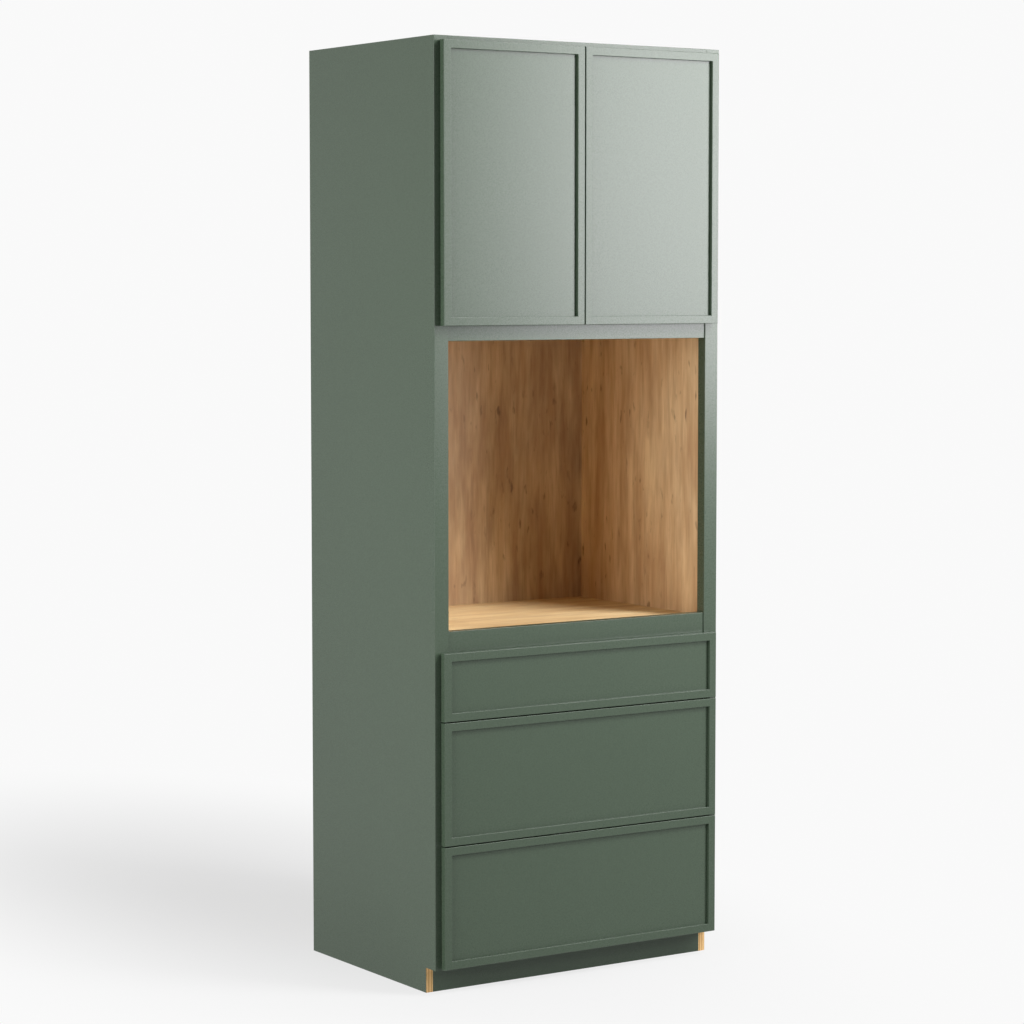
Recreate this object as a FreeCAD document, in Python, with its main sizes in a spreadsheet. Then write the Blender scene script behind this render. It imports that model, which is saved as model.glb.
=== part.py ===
"""Tall oven cabinet: framed carcass, two slim-framed doors, an open oven bay and three drawers.

Millimetres. The origin is on the floor in the middle of the cabinet, +Z is up and the fronts face -Y.
"""

import FreeCAD, Part
import os
import Sketcher

doc = FreeCAD.newDocument("TallOvenCabinet")

# Driving dimensions

SIZES = {
    # carcass
    "cab_width": 838.2,
    "cab_height": 2286,
    "carcass_depth": 590.5,
    "side_thick": 19,
    "deck_thick": 19,
    "back_thick": 12,
    "dado_depth": 9.5,
    "hanging_thick": 19,
    "hanging_height": 89,
    "wall_hole_spacing": 406.4,
    "wall_hole_radius": 3,
    "toe_height": 61,
    "toe_recess": 43,
    "toe_thick": 19,
    # face frame
    "stile_width": 39,
    "frame_thick": 28,
    "rail_setback": 3,
    "tenon_length": 20,
    "tenon_thick": 10,
    "tenon_shoulder": 6,
    "top_rail_height": 39,
    "head_rail_height": 64,
    "sill_rail_height": 76,
    "drawer_rail_height": 38,
    "bottom_rail_height": 38,
    # oven bay
    "sill_reveal": 49.5,
    "oven_opening_height": 692,
    "deck_drop": 9,
    "liner_thick": 8,
    "liner_step": 9,
    # doors and drawer fronts
    "front_gap": 2.5,
    "front_thick": 18,
    "front_frame_width": 20,
    "front_recess": 8,
    "panel_lap": 8,
    "panel_play": 0.5,
    "edge_round": 1,
    "back_edge_round": 2,
    "side_reveal": 15,
    "top_reveal": 11,
    "bottom_reveal": 3,
    "front_spacing": 3,
    "door_overlap": 27.5,
    "top_front_height": 164,
    "middle_front_height": 296.5,
    "bottom_front_height": 296.5,
    # hinges
    "hinge_end_distance": 90,
    "hinge_pin_inset": 6.2,
    "hinge_pin_depth": 6.4,
    "hinge_pin_radius": 1.25,
    "hinge_play": 0.25,
    "knuckle_radius": 2,
    "cup_radius": 17.5,
    "cup_depth": 9.2,
    "cup_wall": 0.8,
    "cup_floor": 0.6,
    "cup_tab": 2.4,
    "cup_fit": 0.1,
    "wing_width": 23,
    "wing_height": 52,
    "wing_thick": 0.8,
    "arm_gauge": 1.6,
    "arm_width": 10,
    "arm_bend": 2.4,
    "arm_plate_height": 42,
    "arm_plate_reach": 22,
    "arm_plate_start": 4,
    # cupboard shelf
    "shelf_rise": 302.5,
    "shelf_thick": 19,
    "shelf_side_play": 1.5,
    "shelf_front_inset": 12,
    "shelf_back_play": 3,
    "shelf_pin_radius": 2.5,
    "shelf_pin_fit": 0.1,
    "shelf_pin_depth": 10,
    "shelf_pin_plate": 9,
    "shelf_pin_plate_thick": 3,
    "shelf_pin_edge": 60,
    "shelf_hole_pitch": 32,
    "shelf_hole_count": 9,
    # drawer boxes
    "box_rear_gap": 29,
    "box_side_gap": 5,
    "box_floor_gap": 14,
    "box_thick": 16,
    "shallow_box_top_gap": 11,
    "deep_box_top_gap": 30,
    "box_bottom_rise": 13,
    "box_bottom_thick": 6,
    "box_groove_depth": 6,
    "bottom_tail": 26,
    "tail_width": 18,
    "tail_taper": 2.7,
    "tail_pitch": 28,
    # drawer slides
    "slide_gauge": 1.5,
    "slide_play": 0.5,
    "slide_floor_gap": 1,
    "runner_inset": 1,
    "runner_width": 23,
    "runner_leg": 19,
    "slide_flange_height": 28,
    "slide_front_gap": 1,
    "cabinet_rail_rear_gap": 25,
    "middle_rail_setback": 20,
    "packer_height": 60,
}

sheet = doc.addObject("Spreadsheet::Sheet", "Sizes")
for row, (alias, value) in enumerate(SIZES.items(), start=1):
    sheet.set(f"A{row}", alias)
    sheet.set(f"B{row}", str(value))
    sheet.setAlias(f"B{row}", alias)
doc.recompute()

# Planes and levels that several pieces share, worked out from the sizes

places = doc.addObject("App::VarSet", "Places")


def place(name, expression):
    """Add one shared plane or level, bound to the sizes."""
    places.addProperty("App::PropertyFloat", name)
    places.setExpression(name, expression)
    doc.recompute()


place("frame_front", "(Sizes.front_gap + Sizes.front_thick - Sizes.carcass_depth) / 2")
place("frame_back", "Places.frame_front + Sizes.frame_thick")
place("rear", "Places.frame_front + Sizes.carcass_depth")
place("back_rear", "Places.rear - Sizes.hanging_thick")
place("back_front", "Places.back_rear - Sizes.back_thick")
place("fronts_back", "Places.frame_front - Sizes.front_gap")
place("fronts_face", "Places.fronts_back - Sizes.front_thick")
place("toe_front", "Places.frame_front + Sizes.toe_recess")
place("half_width", "Sizes.cab_width / 2")
place("half_inside", "Places.half_width - Sizes.side_thick")
place("half_dado", "Places.half_inside + Sizes.dado_depth")
place("half_bay", "Places.half_inside - Sizes.liner_thick")
place("half_opening", "Places.half_width - Sizes.stile_width")
place("half_front", "Places.half_width - Sizes.side_reveal")
place("top_underside", "Sizes.cab_height - Sizes.deck_thick")
place("bottom_floor", "Sizes.toe_height + Sizes.bottom_rail_height")
place("bottom_underside", "Places.bottom_floor - Sizes.deck_thick")
place("bottom_front_low", "Sizes.toe_height + Sizes.bottom_reveal")
place("bottom_front_high", "Places.bottom_front_low + Sizes.bottom_front_height")
place("middle_front_low", "Places.bottom_front_high + Sizes.front_spacing")
place("middle_front_high", "Places.middle_front_low + Sizes.middle_front_height")
place("top_front_low", "Places.middle_front_high + Sizes.front_spacing")
place("top_front_high", "Places.top_front_low + Sizes.top_front_height")
place("oven_sill_level", "Places.top_front_high + Sizes.sill_reveal")
place("oven_head_level", "Places.oven_sill_level + Sizes.oven_opening_height")
place("cupboard_level", "Places.oven_head_level + Sizes.head_rail_height")
place("bay_ceiling", "Places.cupboard_level - Sizes.deck_thick")
place("deck_level", "Places.oven_sill_level - Sizes.deck_drop")
place("liner_foot", "Places.deck_level - Sizes.liner_step")
place("deck_underside", "Places.deck_level - Sizes.deck_thick")
place("door_top", "Sizes.cab_height - Sizes.top_reveal")
place("door_bottom", "Places.cupboard_level - Sizes.door_overlap")
place("lower_rail_middle", "(Places.bottom_front_high + Places.middle_front_low) / 2")
place("upper_rail_middle", "(Places.middle_front_high + Places.top_front_low) / 2")
place("lower_rail_low", "Places.lower_rail_middle - Sizes.drawer_rail_height / 2")
place("upper_rail_low", "Places.upper_rail_middle - Sizes.drawer_rail_height / 2")
place("middle_floor", "Places.lower_rail_low + Sizes.drawer_rail_height")
place("top_floor", "Places.upper_rail_low + Sizes.drawer_rail_height")
place("sill_rail_low", "Places.oven_sill_level - Sizes.sill_rail_height")
place("pin_forward", "Sizes.front_gap + Sizes.hinge_pin_depth")
place("half_pin", "Places.half_front - Sizes.hinge_pin_inset")
place("half_cup", "Places.half_front - Sizes.cup_tab - Sizes.cup_radius")
place("half_box", "Places.half_opening - Sizes.box_side_gap")
place("box_rear", "Places.back_front - Sizes.box_rear_gap")
place("box_length", "Places.box_rear - Places.fronts_back")
place("shelf_level", "Places.cupboard_level + Sizes.shelf_rise")
place("shelf_underside", "Places.shelf_level - Sizes.shelf_thick")
place("slide_front", "Places.fronts_back + Sizes.box_thick + Sizes.slide_front_gap")
place("cabinet_rail_length", "Places.back_front - Sizes.cabinet_rail_rear_gap - Places.slide_front")
place("middle_rail_length", "Places.cabinet_rail_length - Sizes.middle_rail_setback")

X_AXIS = FreeCAD.Vector(1, 0, 0)
Y_AXIS = FreeCAD.Vector(0, 1, 0)
Z_AXIS = FreeCAD.Vector(0, 0, 1)
MITRE_MARGIN = 1
SAME_PLACE = 1e-6

nodes = []


def keep(piece, label):
    """Give a finished piece its name and list it as a sub-part."""
    piece.Label = label
    nodes.append(piece)
    return piece


def move(piece, x, y, z, axis=Z_AXIS, turn=0):
    """Place a piece at bound coordinates, turned about one axis."""
    piece.Placement = FreeCAD.Placement(FreeCAD.Vector(), FreeCAD.Rotation(axis, turn))
    for letter, expression in zip("xyz", (x, y, z)):
        piece.setExpression(f"Placement.Base.{letter}", str(expression))
    return piece


def board(name, x, y, z):
    """A rectangular board between pairs of bound coordinates along X, Y and Z."""
    piece = doc.addObject("Part::Box", name)
    for side, (low, high) in zip(("Length", "Width", "Height"), (x, y, z)):
        piece.setExpression(side, f"({high}) - ({low})")
    return move(piece, x[0], y[0], z[0])


def cylinder(name, radius, length, x, y, z, axis=Z_AXIS, turn=0):
    """A round bar from a bound point, along the turned Z axis."""
    piece = doc.addObject("Part::Cylinder", name)
    piece.setExpression("Radius", radius)
    piece.setExpression("Height", length)
    return move(piece, x, y, z, axis, turn)


def fuse(name, pieces):
    """Join pieces into one shape."""
    joined = doc.addObject("Part::MultiFuse", name)
    joined.Shapes = pieces
    return joined


def cut(name, base, tools):
    """Cut a piece by the pieces that fit into it."""
    result = doc.addObject("Part::Cut", name)
    result.Base = base
    result.Tool = tools[0] if len(tools) == 1 else fuse(f"{name}_tools", tools)
    return result


def group(name, pieces):
    """Collect like pieces, which stay separate solids, under one name."""
    gathered = doc.addObject("Part::Compound", name)
    gathered.Links = pieces
    return gathered


def new_body(name):
    """An empty feature body."""
    return doc.addObject("PartDesign::Body", name)


def sketch_on(body, name, role):
    """A sketch on one of the body's own origin planes."""
    plane = next(item for item in body.Origin.OriginFeatures if item.Role == role)
    sketch = body.newObject("Sketcher::SketchObject", f"{body.Name}_{name}")
    sketch.AttachmentSupport = (plane, "")
    sketch.MapMode = "FlatFace"
    return sketch


def worth(expression):
    """The present value of an expression."""
    return float(sheet.evalExpression(str(expression)))


def bind_point(sketch, geometry, position, x, y):
    """Hold one point of a sketch at bound coordinates."""
    for kind, expression in (("DistanceX", x), ("DistanceY", y)):
        hold = Sketcher.Constraint(kind, -1, 1, geometry, position, worth(expression))
        index = sketch.addConstraint(hold)
        sketch.setExpression(f"Constraints[{index}]", str(expression))


def outline(sketch, corners):
    """A closed outline of straight lines through corners with bound coordinates."""
    points = []
    for x, y in corners:
        points.append(FreeCAD.Vector(worth(x), worth(y), 0))
    lines = []
    for index, point in enumerate(points):
        following = points[(index + 1) % len(points)]
        lines.append(sketch.addGeometry(Part.LineSegment(point, following)))
    for index, line in enumerate(lines):
        following = lines[(index + 1) % len(lines)]
        sketch.addConstraint(Sketcher.Constraint("Coincident", line, 2, following, 1))
    for line, (x, y) in zip(lines, corners):
        bind_point(sketch, line, 1, x, y)


def circle(sketch, x, y, radius):
    """A circle with a bound centre and radius."""
    centre = FreeCAD.Vector(worth(x), worth(y), 0)
    ring = sketch.addGeometry(Part.Circle(centre, Z_AXIS, worth(radius)))
    bind_point(sketch, ring, 3, x, y)
    index = sketch.addConstraint(Sketcher.Constraint("Radius", ring, worth(radius)))
    sketch.setExpression(f"Constraints[{index}]", radius)


def pad(body, sketch, length, symmetric=False, reverse=False):
    """Extrude a sketch into the body."""
    feature = body.newObject("PartDesign::Pad", f"{sketch.Name}_pad")
    feature.Profile = sketch
    feature.setExpression("Length", length)
    feature.SideType = "Symmetric" if symmetric else "One side"
    feature.Reversed = reverse
    doc.recompute()
    return feature


def pocket(body, sketch, length=None, reverse=False):
    """Cut a sketch out of the body, to a length or right through it both ways."""
    before = body.Shape.Volume
    feature = body.newObject("PartDesign::Pocket", f"{sketch.Name}_pocket")
    feature.Profile = sketch
    if length is None:
        feature.Type = "ThroughAll"
        feature.SideType = "Symmetric"
    else:
        feature.setExpression("Length", length)
        feature.Reversed = reverse
    doc.recompute()
    if body.Shape.Volume >= before:
        raise ValueError(f"{feature.Name} cuts nothing")
    return feature


def row_upwards(body, feature, sketch, pitch, count):
    """Repeat a feature up the sketch's vertical axis."""
    pattern = body.newObject("PartDesign::LinearPattern", f"{feature.Name}_row")
    pattern.Originals = [feature]
    pattern.Direction = (sketch, ["V_Axis"])
    pattern.Mode = "Spacing"
    pattern.setExpression("Offset", pitch)
    pattern.setExpression("Occurrences", count)
    body.Tip = pattern
    doc.recompute()
    return pattern


def round_edges(body, name, corners, radius):
    """Round the straight edges along Z that stand at the given bound corners."""
    wanted = [(worth(x), worth(y)) for x, y in corners]
    names = []
    for index, edge in enumerate(body.Tip.Shape.Edges, start=1):
        first = edge.Vertexes[0].Point
        last = edge.Vertexes[-1].Point
        upright = abs(first.x - last.x) + abs(first.y - last.y) < SAME_PLACE < abs(first.z - last.z)
        if upright and any(abs(first.x - x) + abs(first.y - y) < SAME_PLACE for x, y in wanted):
            names.append(f"Edge{index}")
    base = body.Tip
    feature = body.newObject("PartDesign::Fillet", f"{body.Name}_{name}")
    feature.Base = (base, names)
    feature.setExpression("Radius", radius)
    body.Tip = feature
    doc.recompute()


def eased_board(name, x, y, z):
    """A board that runs along X, with its two front edges rounded."""
    body = new_body(name)
    section = sketch_on(body, "section", "XY_Plane")
    height = f"(({z[1]}) - ({z[0]}))"
    depth = f"(({y[1]}) - ({y[0]}))"
    outline(section, [(0, 0), (height, 0), (height, depth), (0, depth)])
    pad(body, section, f"({x[1]}) - ({x[0]})")
    round_edges(body, "front_edges", [(0, 0), (height, 0)], "Sizes.edge_round")
    return move(body, x[0], y[0], z[1], Y_AXIS, 90)


# Carcass boards

INSIDE = ("-Places.half_inside", "Places.half_inside")
DADOED = ("-Places.half_dado", "Places.half_dado")
BEHIND_FRAME = ("Places.frame_back", "Places.back_front")


def make_decks():
    """Top, cupboard floor, oven deck and bottom deck, let into the sides."""
    top = board("top_board", DADOED, ("Places.frame_back", "Places.rear"),
                ("Places.top_underside", "Sizes.cab_height"))
    cupboard_floor = board("cupboard_board", DADOED, BEHIND_FRAME,
                           ("Places.bay_ceiling", "Places.cupboard_level"))
    bottom = board("bottom_board", DADOED, BEHIND_FRAME,
                   ("Places.bottom_underside", "Places.bottom_floor"))
    keep(top, "top_panel")
    keep(cupboard_floor, "cupboard_floor")
    keep(bottom, "bottom_deck")
    return [top, cupboard_floor, bottom, make_oven_deck()]


def make_oven_deck():
    """The deck that carries the oven, below the sill's edge and stepped at both ends for the bay liners."""
    body = new_body("oven_deck_body")
    section = sketch_on(body, "section", "XZ_Plane")
    outline(section, [
        ("-Places.half_dado", "Places.deck_underside"),
        ("Places.half_dado", "Places.deck_underside"),
        ("Places.half_dado", "Places.liner_foot"),
        ("Places.half_bay", "Places.liner_foot"),
        ("Places.half_bay", "Places.deck_level"),
        ("-Places.half_bay", "Places.deck_level"),
        ("-Places.half_bay", "Places.liner_foot"),
        ("-Places.half_dado", "Places.liner_foot"),
    ])
    pad(body, section, "Places.back_front - Places.frame_back", reverse=True)
    move(body, 0, "Places.frame_back", 0)
    return keep(body, "oven_deck")


def wall_holes(name):
    """Two bars that bore the wall-screw holes through the back and the top hanging rail."""
    level = "Places.top_underside - Sizes.hanging_height / 2"
    length = "Sizes.back_thick + Sizes.hanging_thick"
    bars = []
    for side in (-1, 1):
        bars.append(cylinder(f"{name}_{'left' if side < 0 else 'right'}", "Sizes.wall_hole_radius", length,
                             f"{side} * Sizes.wall_hole_spacing / 2", "Places.rear", level, X_AXIS, 90))
    return bars


def make_back():
    """The back panel in its grooves, with the hanging rails behind it."""
    holes = wall_holes("wall_hole")
    blank = board("back_blank", DADOED, ("Places.back_front", "Places.back_rear"),
                  ("Places.bottom_underside", "Places.top_underside"))
    back = cut("back_cut", blank, holes)
    keep(back, "back_panel")
    behind = ("Places.back_rear", "Places.rear")
    top_low = "Places.top_underside - Sizes.hanging_height"
    top_blank = board("hanging_blank", INSIDE, behind, (top_low, "Places.top_underside"))
    top_rail = cut("hanging_top", top_blank, holes)
    middle_rail = board("hanging_middle", INSIDE, behind,
                        ("Places.oven_sill_level - Sizes.hanging_height", "Places.oven_sill_level"))
    bottom_rail = board("hanging_bottom", INSIDE, behind,
                        ("Places.bottom_underside", "Places.bottom_underside + Sizes.hanging_height"))
    keep(group("hanging_group", [top_rail, middle_rail, bottom_rail]), "hanging_rails")
    return back


def make_side(name, side, fitted):
    """A side panel with its toe notch and shelf-pin holes, dadoed by the boards that it takes."""
    body = new_body(f"{name}_body")
    profile = sketch_on(body, "profile", "YZ_Plane")
    outline(profile, [
        ("Places.toe_front", 0),
        ("Places.rear", 0),
        ("Places.rear", "Sizes.cab_height"),
        ("Places.frame_back", "Sizes.cab_height"),
        ("Places.frame_back", "Sizes.toe_height"),
        ("Places.toe_front", "Sizes.toe_height"),
    ])
    pad(body, profile, "Sizes.side_thick", reverse=side > 0)
    holes = sketch_on(body, "pin_holes", "YZ_Plane")
    holes.setExpression("AttachmentOffset.Base.z", f"{-side} * Sizes.side_thick")
    lowest = ("Places.shelf_underside - Sizes.shelf_pin_plate_thick - Sizes.shelf_pin_radius"
              " - floor(Sizes.shelf_hole_count / 2) * Sizes.shelf_hole_pitch")
    for row_y in PIN_ROWS:
        circle(holes, row_y, lowest, "Sizes.shelf_pin_radius + Sizes.shelf_pin_fit")
    bored = pocket(body, holes, "Sizes.shelf_pin_depth", reverse=side > 0)
    row_upwards(body, bored, holes, "Sizes.shelf_hole_pitch", "Sizes.shelf_hole_count")
    move(body, f"{side} * Places.half_width", 0, 0)
    return keep(cut(f"{name}_cut", body, fitted), name)


PIN_ROWS = (
    "Places.frame_back + Sizes.shelf_pin_edge",
    "Places.back_front - Sizes.shelf_pin_edge",
)


def make_toe_board():
    """The board that closes the toe recess, flush with the notch in the sides."""
    toe = board("toe_board", INSIDE, ("Places.toe_front", "Places.toe_front + Sizes.toe_thick"),
                (0, "Places.bottom_underside"))
    keep(toe, "toe_kick_board")


def make_liners():
    """Thin boards that line the bay's side walls, behind the stiles."""
    levels = ("Places.liner_foot", "Places.bay_ceiling")
    left = board("liner_left", ("-Places.half_inside", "-Places.half_bay"), BEHIND_FRAME, levels)
    right = board("liner_right", ("Places.half_bay", "Places.half_inside"), BEHIND_FRAME, levels)
    keep(left, "left_oven_liner")
    keep(right, "right_oven_liner")


# Face frame

FLUSH_FACE = "Places.frame_front"
SET_BACK_FACE = "(Places.frame_front + Sizes.rail_setback)"


def make_rail(label, low, high, face=SET_BACK_FACE):
    """A frame rail with eased front edges and a tenon at each end."""
    name = f"{label}_body"
    rail = eased_board(f"{name}_rail", ("-Places.half_opening", "Places.half_opening"),
                       (face, "Places.frame_back"), (low, high))
    reach = "Places.half_opening + Sizes.tenon_length"
    tenon_front = "Places.frame_front + (Sizes.frame_thick - Sizes.tenon_thick) / 2"
    tenon = board(f"{name}_tenon", (f"-({reach})", reach),
                  (tenon_front, f"{tenon_front} + Sizes.tenon_thick"),
                  (f"{low} + Sizes.tenon_shoulder", f"{high} - Sizes.tenon_shoulder"))
    return keep(fuse(name, [rail, tenon]), label)


def make_stile(name, inner, outer, rails):
    """A frame stile with eased front edges, mortised by the rails that end in it."""
    front, back = "Places.frame_front", "Places.frame_back"
    body = new_body(f"{name}_blank")
    section = sketch_on(body, "section", "XY_Plane")
    outline(section, [(inner, front), (outer, front), (outer, back), (inner, back)])
    pad(body, section, "Sizes.cab_height - Sizes.toe_height")
    round_edges(body, "front_edges", [(inner, front), (outer, front)], "Sizes.edge_round")
    move(body, 0, 0, "Sizes.toe_height")
    return keep(cut(f"{name}_cut", body, rails), name)


def make_face_frame():
    """Two stiles with six rails tenoned between them, the top one flush and the others set back."""
    rails = [
        make_rail("top_rail", "Sizes.cab_height - Sizes.top_rail_height", "Sizes.cab_height", FLUSH_FACE),
        make_rail("oven_head_rail", "Places.oven_head_level", "Places.cupboard_level"),
        make_rail("oven_sill_rail", "Places.sill_rail_low", "Places.oven_sill_level"),
        make_rail("upper_drawer_rail", "Places.upper_rail_low", "Places.top_floor"),
        make_rail("lower_drawer_rail", "Places.lower_rail_low", "Places.middle_floor"),
        make_rail("bottom_rail", "Sizes.toe_height", "Places.bottom_floor"),
    ]
    make_stile("left_stile", "-Places.half_opening", "-Places.half_width", rails)
    make_stile("right_stile", "Places.half_opening", "Places.half_width", rails)


# Cupboard shelf

def make_shelf():
    """The adjustable shelf and the four pins that it lies on."""
    side = "(Places.half_inside - Sizes.shelf_side_play)"
    shelf = eased_board("shelf_board", (f"-{side}", side),
                        ("Places.frame_back + Sizes.shelf_front_inset",
                         "Places.back_front - Sizes.shelf_back_play"),
                        ("Places.shelf_underside", "Places.shelf_level"))
    keep(shelf, "cupboard_shelf")
    pins = []
    plate_low = "Places.shelf_underside - Sizes.shelf_pin_plate_thick"
    pin_level = f"{plate_low} - Sizes.shelf_pin_radius"
    for side_name, side in (("left", -1), ("right", 1)):
        for row_name, row_y in zip(("front", "rear"), PIN_ROWS):
            name = f"pin_{side_name}_{row_name}"
            length = "Sizes.shelf_pin_depth + Sizes.shelf_pin_plate"
            start = f"{side} * (Places.half_inside + Sizes.shelf_pin_depth)"
            bar = cylinder(f"{name}_bar", "Sizes.shelf_pin_radius", length, start, row_y, pin_level,
                           Y_AXIS, -90 * side)
            inner = "(Places.half_inside - Sizes.shelf_pin_plate)"
            ends = ("-Places.half_inside", f"-{inner}") if side < 0 else (inner, "Places.half_inside")
            plate = board(f"{name}_plate", ends,
                          (f"{row_y} - Sizes.shelf_pin_plate / 2", f"{row_y} + Sizes.shelf_pin_plate / 2"),
                          (f"{plate_low} - Sizes.shelf_pin_radius", "Places.shelf_underside"))
            pins.append(fuse(name, [bar, plate]))
    keep(group("pin_group", pins), "shelf_pins")


# Slim-framed fronts

def make_stick(name, length, x, z, turn):
    """One rebated frame stick, run as a moulding with rounded edges and mitred at both ends."""
    body = new_body(name)
    section = sketch_on(body, "section", "XY_Plane")
    lap_edge = "Sizes.front_frame_width - Sizes.panel_lap"
    outline(section, [
        (0, 0),
        ("Sizes.front_frame_width", 0),
        ("Sizes.front_frame_width", "Sizes.front_recess"),
        (lap_edge, "Sizes.front_recess"),
        (lap_edge, "Sizes.front_thick"),
        (0, "Sizes.front_thick"),
    ])
    pad(body, section, length)
    round_edges(body, "front_edges", [(0, 0), ("Sizes.front_frame_width", 0)], "Sizes.edge_round")
    round_edges(body, "back_edge", [(0, "Sizes.front_thick")], "Sizes.back_edge_round")
    mitres = sketch_on(body, "mitres", "XZ_Plane")
    far = f"Sizes.front_frame_width + {MITRE_MARGIN}"
    outline(mitres, [(-MITRE_MARGIN, -MITRE_MARGIN), (far, -MITRE_MARGIN), (far, far)])
    outline(mitres, [(-MITRE_MARGIN, f"{length} + {MITRE_MARGIN}"), (far, f"{length} - ({far})"),
                     (far, f"{length} + {MITRE_MARGIN}")])
    pocket(body, mitres)
    return move(body, x, "Places.fronts_face", z, Y_AXIS, turn)


def make_front(name, left, right, low, high):
    """The four mitred sticks of a front and the flat panel set in behind their lips."""
    width = f"(({right}) - ({left}))"
    height = f"(({high}) - ({low}))"
    sticks = {
        "left": make_stick(f"{name}_left_stick", height, left, low, 0),
        "right": make_stick(f"{name}_right_stick", height, right, high, 180),
        "bottom": make_stick(f"{name}_bottom_stick", width, right, low, -90),
        "top": make_stick(f"{name}_top_stick", width, left, high, 90),
    }
    edge = "(Sizes.front_frame_width - Sizes.panel_lap + Sizes.panel_play)"
    panel = board(f"{name}_panel_board", (f"{left} + {edge}", f"{right} - {edge}"),
                  ("Places.fronts_face + Sizes.front_recess", "Places.fronts_back"),
                  (f"{low} + {edge}", f"{high} - {edge}"))
    return sticks, panel


# Doors and their hinges

HINGE_LEVELS = {
    "lower": "Places.door_bottom + Sizes.hinge_end_distance",
    "upper": "Places.door_top - Sizes.hinge_end_distance",
}


def make_cup(name, side, level):
    """A shallow hinge cup with two screw wings and the pivot pin across its mouth."""
    x = f"{side} * Places.half_cup"
    face = "Places.fronts_back"
    shell = cylinder(f"{name}_shell", "Sizes.cup_radius", "Sizes.cup_depth", x, face, level, X_AXIS, 90)
    wings = board(f"{name}_wings", (f"{x} - Sizes.wing_width / 2", f"{x} + Sizes.wing_width / 2"),
                  (face, f"{face} + Sizes.wing_thick"),
                  (f"{level} - Sizes.wing_height / 2", f"{level} + Sizes.wing_height / 2"))
    hollow = cylinder(f"{name}_hollow", "Sizes.cup_radius - Sizes.cup_wall",
                      "Sizes.cup_depth - Sizes.cup_floor + Sizes.wing_thick",
                      x, f"{face} + Sizes.wing_thick", level, X_AXIS, 90)
    cup = cut(f"{name}_cup", fuse(f"{name}_solid", [shell, wings]), [hollow])
    bar = cylinder(f"{name}_pin_bar", "Sizes.hinge_pin_radius", "2 * Sizes.cup_radius",
                   f"{side} * Places.half_pin", "Places.frame_front - Places.pin_forward",
                   f"{level} - Sizes.cup_radius")
    pin = doc.addObject("Part::Common", f"{name}_pin")
    pin.Base = bar
    pin.Tool = shell
    return fuse(name, [cup, pin])


def make_arm(name, side, level):
    """A cranked hinge arm: knuckle on the pin, bent leg, and a plate on the stile's inner edge."""
    body = new_body(name)
    gauge = "Sizes.arm_gauge"
    inner = "(Places.half_pin - Places.half_opening)"
    outer = f"{inner} + {gauge}"
    reach = "(Places.pin_forward + Sizes.arm_plate_reach)"
    leg = sketch_on(body, "leg", "XY_Plane")
    outline(leg, [
        (0, f"-{gauge} / 2"),
        (outer, f"-{gauge} / 2"),
        (outer, reach),
        (inner, reach),
        (inner, f"{gauge} / 2"),
        (0, f"{gauge} / 2"),
    ])
    pad(body, leg, "Sizes.arm_width", symmetric=True)
    round_edges(body, "inner_bend", [(inner, f"{gauge} / 2")], "Sizes.arm_bend")
    round_edges(body, "outer_bend", [(outer, f"-{gauge} / 2")], f"Sizes.arm_bend + {gauge}")
    plate = sketch_on(body, "plate", "XY_Plane")
    plate_start = "Places.pin_forward + Sizes.arm_plate_start"
    outline(plate, [(inner, plate_start), (outer, plate_start), (outer, reach), (inner, reach)])
    pad(body, plate, "Sizes.arm_plate_height", symmetric=True)
    knuckle = sketch_on(body, "knuckle", "XY_Plane")
    circle(knuckle, "0", "0", "Sizes.knuckle_radius")
    pad(body, knuckle, "Sizes.arm_width", symmetric=True)
    bore = sketch_on(body, "bore", "XY_Plane")
    circle(bore, "0", "0", "Sizes.hinge_pin_radius + Sizes.hinge_play")
    pocket(body, bore)
    return move(body, f"{side} * Places.half_pin", "Places.frame_front - Places.pin_forward", level,
                Y_AXIS, 0 if side < 0 else 180)


def make_door(label, side):
    """A door, its two hinge cups and the bores that they sit in."""
    meeting = "Sizes.front_spacing / 2"
    left, right = ("-Places.half_front", f"-{meeting}") if side < 0 else (meeting, "Places.half_front")
    sticks, panel = make_front(label, left, right, "Places.door_bottom", "Places.door_top")
    cups = []
    bores = []
    for height_name, level in HINGE_LEVELS.items():
        cups.append(make_cup(f"{label}_{height_name}_hinge", side, level))
        bores.append(cylinder(f"{label}_{height_name}_bore", "Sizes.cup_radius + Sizes.cup_fit",
                              "Sizes.cup_depth + Sizes.cup_fit", f"{side} * Places.half_cup",
                              "Places.fronts_back", level, X_AXIS, 90))
    hinge_side, meeting_side = ("left", "right") if side < 0 else ("right", "left")
    keep(cut(f"{label}_hinge_stick_cut", sticks[hinge_side], bores), f"{label}_hinge_stile")
    keep(sticks[meeting_side], f"{label}_meeting_stile")
    keep(sticks["top"], f"{label}_top_rail")
    keep(sticks["bottom"], f"{label}_bottom_rail")
    keep(cut(f"{label}_panel_cut", panel, bores), f"{label}_panel")
    keep(group(f"{label}_cup_group", cups), f"{label}_hinge_cups")
    return [make_arm(f"{label}_{name}_arm", side, level) for name, level in HINGE_LEVELS.items()]


# Drawers and their slides

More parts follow.
